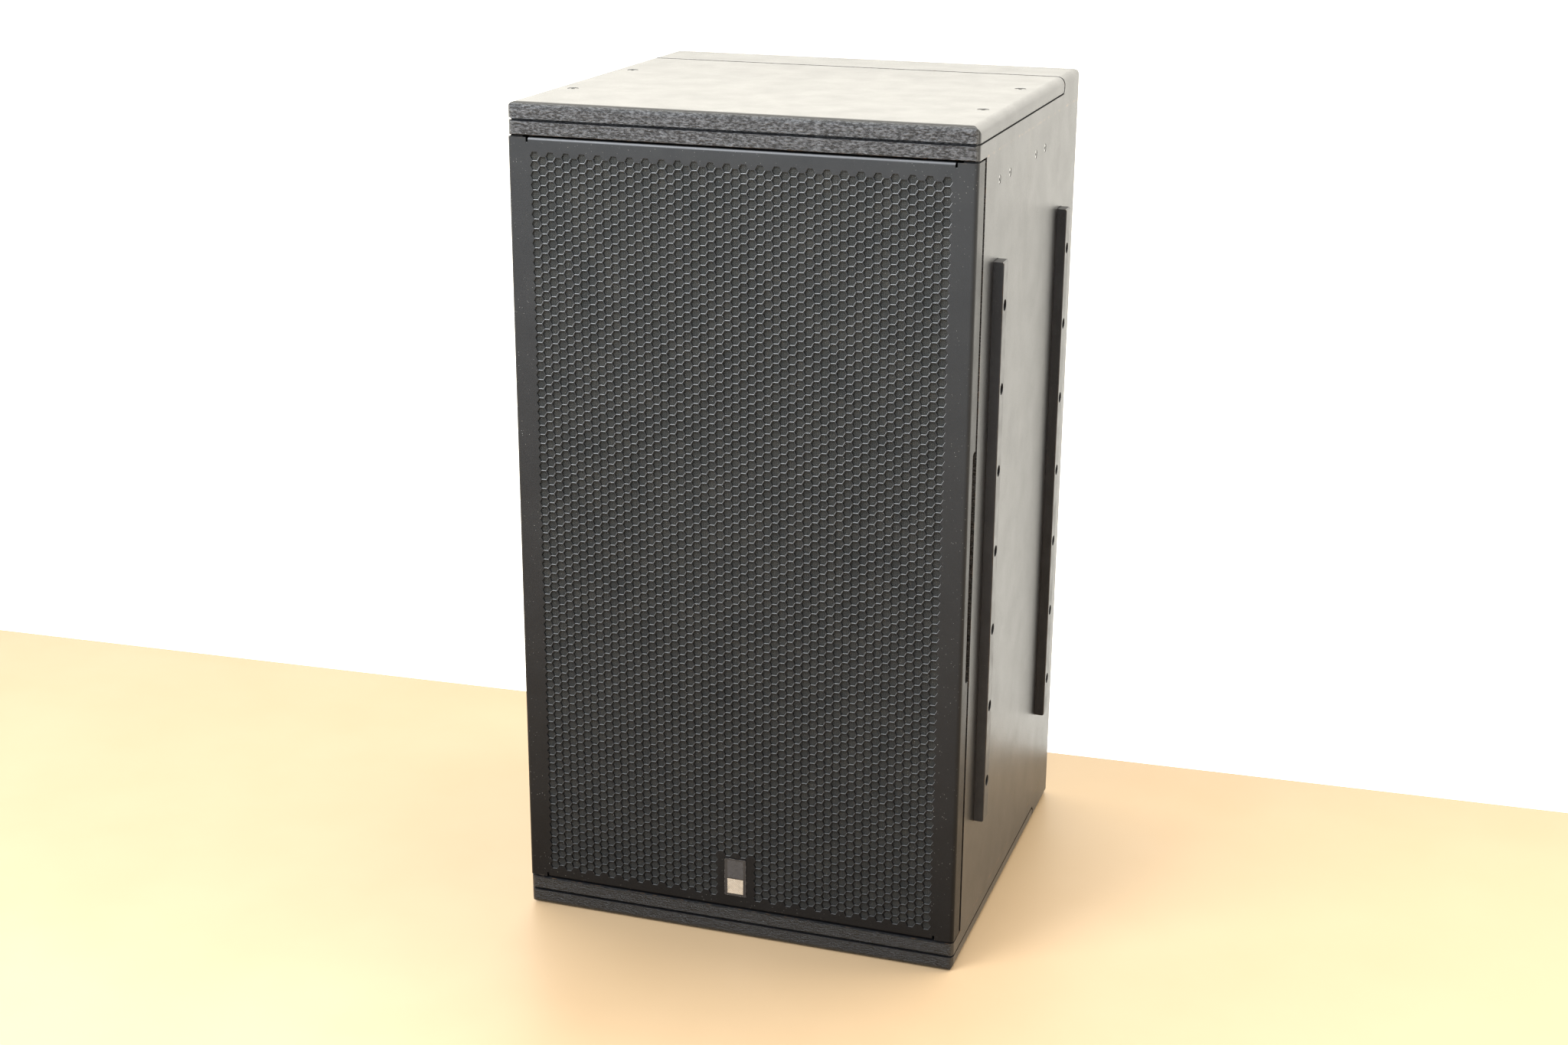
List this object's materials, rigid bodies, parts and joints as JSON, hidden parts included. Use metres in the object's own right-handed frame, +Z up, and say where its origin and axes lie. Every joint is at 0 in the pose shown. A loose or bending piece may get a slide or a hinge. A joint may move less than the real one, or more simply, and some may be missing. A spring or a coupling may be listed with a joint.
{
  "type": "pa speaker cabinet",
  "caption": "Upright plywood pa speaker cabinet with a perforated front grille, cone drivers, side runners and a powered rear module.",
  "frame": {"origin": "centre of the cabinet's base face, midway between the side panels and between front and rear", "axes": "+Z up, -Y out of the grille, +X towards the side that carries the runners"},
  "size_m": [0.51, 0.489, 0.9155],
  "materials": {
    "cabinet_paint": "textured black paint on birch plywood",
    "bare_plywood": "black-stained plywood",
    "runner_paint": "textured black paint on hardwood",
    "grille_coat": "satin charcoal powder coat",
    "screen_mesh": "fine black acoustic mesh",
    "badge_black": "gloss black moulded plastic",
    "badge_foil": "cross-hatched satin foil",
    "screw_black": "black oxide",
    "zinc": "zinc plated",
    "basket_coat": "black painted casting",
    "cone_paper": "black pressed paper pulp",
    "cap_paper": "semi-gloss treated paper",
    "surround_cloth": "treated cloth",
    "spider_cloth": "amber phenolic cloth",
    "coil_copper": "copper-clad wire on a glass-fibre former",
    "ferrite": "fired ferrite",
    "motor_steel": "black zinc steel",
    "duct_plastic": "matt black plastic",
    "amp_steel": "fine-texture black powder coat",
    "sink_aluminium": "black anodised extrusion",
    "connector_metal": "nickel plated die casting",
    "moulded_black": "moulded black plastic",
    "rocker_red": "moulded red plastic",
    "led_lens": "tinted lens",
    "circuit_green": "solder-masked board with components",
    "transformer_wrap": "taped winding",
    "lead_pvc": "black twin lead",
    "wadding": "grey acoustic foam"
  },
  "bodies": {
    "cabinet": {"amp_chassis": "amp_steel", "amp_screws": "screw_black", "anchor_angles": "zinc", "anchor_screws": "screw_black", "badge_inlay": "badge_foil", "badge_plate": "badge_black", "bottom_end_cover": "cabinet_paint", "bottom_end_panel": "cabinet_paint", "centre_brace": "bare_plywood", "circuit_board": "circuit_green", "cover_screws": "screw_black", "driver_screws": "screw_black", "fan_frame": "moulded_black", "front_baffle": "bare_plywood", "front_runner": "runner_paint", "grille": "grille_coat", "grille_clips": "zinc", "grille_screen": "screen_mesh", "heat_sink": "sink_aluminium", "left_side_panel": "cabinet_paint", "left_vent_duct": "duct_plastic", "lining_pads": "wadding", "lower_basket": "basket_coat", "lower_driver_lead": "lead_pvc", "lower_magnet": "ferrite", "lower_spider": "spider_cloth", "lower_surround": "surround_cloth", "lower_terminals": "moulded_black", "lower_top_plate": "motor_steel", "lower_yoke": "motor_steel", "mains_inlet": "moulded_black", "rear_panel": "cabinet_paint", "rear_runner": "runner_paint", "right_side_panel": "cabinet_paint", "right_vent_duct": "duct_plastic", "runner_screws": "screw_black", "status_leds": "led_lens", "switch_housing": "moulded_black", "top_end_cover": "cabinet_paint", "top_end_panel": "cabinet_paint", "transformer": "transformer_wrap", "upper_basket": "basket_coat", "upper_driver_lead": "lead_pvc", "upper_magnet": "ferrite", "upper_spider": "spider_cloth", "upper_surround": "surround_cloth", "upper_terminals": "moulded_black", "upper_top_plate": "motor_steel", "upper_yoke": "motor_steel", "xlr_input": "connector_metal", "xlr_output": "connector_metal"},
    "upper_cone_assembly": {"upper_cone": "cone_paper", "upper_dust_cap": "cap_paper", "upper_voice_coil": "coil_copper"},
    "lower_cone_assembly": {"lower_cone": "cone_paper", "lower_dust_cap": "cap_paper", "lower_voice_coil": "coil_copper"},
    "fan_wheel": {"fan_rotor": "moulded_black"},
    "polarity_rocker": {"switch_rocker": "rocker_red"},
    "release_tab": {"xlr_release_tab": "moulded_black"}
  },
  "joints": [
    {"name": "upper_cone_travel", "type": "slide", "parent": "cabinet", "child": "upper_cone_assembly", "axis": [0, 1, 0], "range_m": [-0.008, 0.008], "stiffness_N_per_m": 6000},
    {"name": "lower_cone_travel", "type": "slide", "parent": "cabinet", "child": "lower_cone_assembly", "axis": [0, 1, 0], "range_m": [-0.008, 0.008], "stiffness_N_per_m": 6000},
    {"name": "fan_spin", "type": "hinge", "parent": "cabinet", "child": "fan_wheel", "pos_m": [-0.088, 0.192, 0.392], "axis": [0, 1, 0], "continuous": true},
    {"name": "rocker_tip", "type": "hinge", "parent": "cabinet", "child": "polarity_rocker", "pos_m": [0.112, 0.208, 0.418], "axis": [1, 0, 0], "range_deg": [-20, 0]},
    {"name": "tab_press", "type": "slide", "parent": "cabinet", "child": "release_tab", "axis": [0, -1, 0], "range_m": [0, 0.0014], "stiffness_N_per_m": 600}
  ]
}
